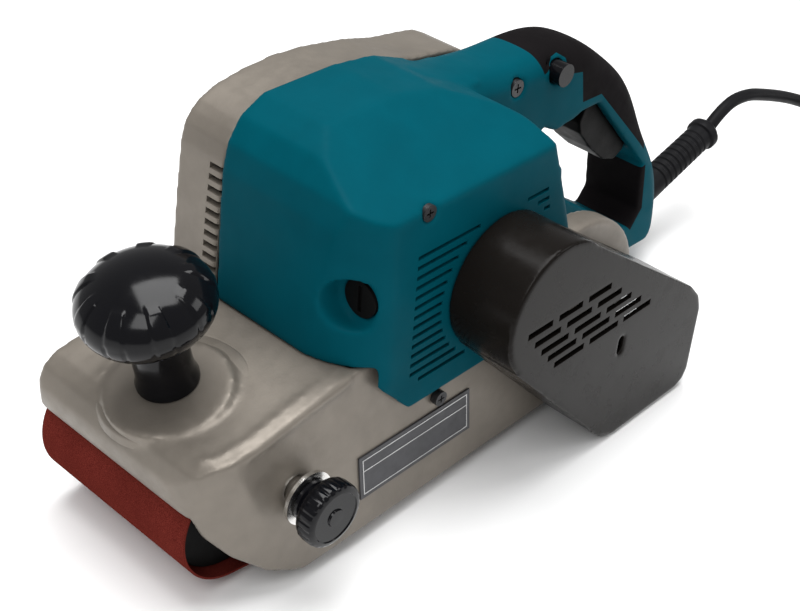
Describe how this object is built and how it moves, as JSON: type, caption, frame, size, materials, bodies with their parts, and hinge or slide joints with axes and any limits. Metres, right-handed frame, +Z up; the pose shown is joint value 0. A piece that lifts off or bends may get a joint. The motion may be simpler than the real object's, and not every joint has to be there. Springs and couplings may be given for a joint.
{
  "type": "belt sander",
  "caption": "Corded handheld belt sander: a driven drum and a front roller carry a wide abrasive belt over a flat sole, with a front knob and a rear loop handle with a trigger.",
  "frame": {"origin": "on the flat working face of the sanding belt, midway between the two roller axes and in the middle of the belt's width", "axes": "+X runs from the nose to the rear handle, -Y is the drive side with the belt hood, +Z is up from the working face"},
  "size_m": [0.713, 0.2207, 0.191],
  "materials": {
    "cast": "cast, satin",
    "teal": "fine grained moulding",
    "black_gloss": "polished",
    "black_matte": "grained",
    "hood_plastic": "satin face with polished edges",
    "soft_grip": "soft moulded rubber",
    "abrasive": "abrasive grit on cloth",
    "steel": "turned",
    "dark_steel": "blackened",
    "bright_trim": "polished",
    "plate_metal": "dark printed plate, blank",
    "rubber": "drum lagging",
    "cork": "cork",
    "graphite": "graphite cloth",
    "copper": "copper",
    "cord_rubber": "cord sheath",
    "brass": "machined"
  },
  "bodies": {
    "sander": {"main_frame": "cast", "sanding_belt": "abrasive", "graphite_cover": "graphite", "platen_plate": "steel", "cork_pad": "cork", "tension_spring": "steel", "lever_pin": "steel", "lever_bracket": "dark_steel", "drum_bearings": "steel", "tracking_collar": "bright_trim", "motor_bearings": "steel", "stator": "dark_steel", "brush_holders": "brass", "carbon_brushes": "graphite", "brush_caps": "black_matte", "counter_bearings": "steel", "toothed_belt": "rubber", "motor_housing": "teal", "far_cover": "cast", "belt_hood": "hood_plastic", "handle_near": "teal", "handle_far": "teal", "grip_rubber": "soft_grip", "switch_body": "black_matte", "handle_screws": "dark_steel", "front_knob": "black_gloss", "knob_stud": "steel", "nameplate": "plate_metal", "housing_screws": "dark_steel", "cover_screws": "dark_steel", "foot_bolt": "dark_steel", "cord_guard": "cord_rubber", "mains_cord": "cord_rubber", "cord_coil": "cord_rubber", "plug_body": "cord_rubber", "plug_pins": "brass"},
    "slide": {"tension_slide": "dark_steel", "fork_pivot_pin": "steel"},
    "fork": {"roller_fork": "dark_steel", "front_axle": "steel"},
    "idler": {"front_roller": "black_matte", "front_roller_bearings": "steel"},
    "lever": {"tension_lever": "steel"},
    "tracking": {"tracking_knob": "black_gloss", "tracking_screw": "steel"},
    "drum": {"drive_drum": "cast", "drum_lagging": "rubber", "drum_shaft": "steel", "drum_pulley": "black_matte", "drum_nut": "steel"},
    "countershaft": {"counter_shaft": "steel", "counter_gear": "steel", "counter_pulley": "black_matte"},
    "armature": {"armature_shaft": "steel", "armature_core": "dark_steel", "commutator": "copper", "armature_windings": "copper", "cooling_fan": "black_matte"},
    "trigger": {"trigger": "black_matte"},
    "lock_button": {"lock_button": "black_gloss"}
  },
  "joints": [
    {"name": "drum_spin", "type": "hinge", "parent": "sander", "child": "drum", "pos_m": [0.103, 0, 0.038], "axis": [0, 1, 0], "continuous": true},
    {"name": "countershaft_spin", "type": "hinge", "parent": "sander", "child": "countershaft", "pos_m": [0.0365, -0.08, 0.1104], "axis": [0, 1, 0], "continuous": true},
    {"name": "armature_spin", "type": "hinge", "parent": "sander", "child": "armature", "pos_m": [0.02, -0.02, 0.127], "axis": [0, 1, 0], "continuous": true},
    {"name": "tension_slide", "type": "slide", "parent": "sander", "child": "slide", "axis": [1, 0, 0], "range_m": [0, 0.005], "deforming": ["tension_spring"]},
    {"name": "fork_tilt", "type": "hinge", "parent": "slide", "child": "fork", "pos_m": [-0.066, 0, 0.038], "axis": [0, 0, 1], "range_deg": [-0.6, 0.6]},
    {"name": "idler_spin", "type": "hinge", "parent": "fork", "child": "idler", "pos_m": [-0.103, 0, 0.038], "axis": [0, 1, 0], "continuous": true},
    {"name": "tension_lever", "type": "hinge", "parent": "sander", "child": "lever", "pos_m": [-0.03, 0.04, 0.038], "axis": [0, 0, 1], "range_deg": [0, 120]},
    {"name": "tracking_turn", "type": "hinge", "parent": "sander", "child": "tracking", "pos_m": [-0.085, -0.08, 0.053], "axis": [0, 1, 0], "range_deg": [-360, 360]},
    {"name": "trigger_pull", "type": "hinge", "parent": "sander", "child": "trigger", "pos_m": [0.17952, -0.002, 0.1313], "axis": [0, -1, 0], "range_deg": [0, 5], "stiffness_Nm_per_rad": 2},
    {"name": "lock_press", "type": "slide", "parent": "sander", "child": "lock_button", "axis": [0, 1, 0], "range_m": [0, 0.003], "stiffness_N_per_m": 400}
  ],
  "couplings": [
    {"joint": "countershaft_spin", "follows": "drum_spin", "ratio": 1.7857},
    {"joint": "armature_spin", "follows": "drum_spin", "ratio": -5.9524},
    {"joint": "idler_spin", "follows": "drum_spin", "ratio": 1},
    {"joint": "tension_lever", "follows": "tension_slide", "rad_per_m": 418.88},
    {"joint": "tracking_turn", "follows": "fork_tilt", "ratio": 600}
  ]
}
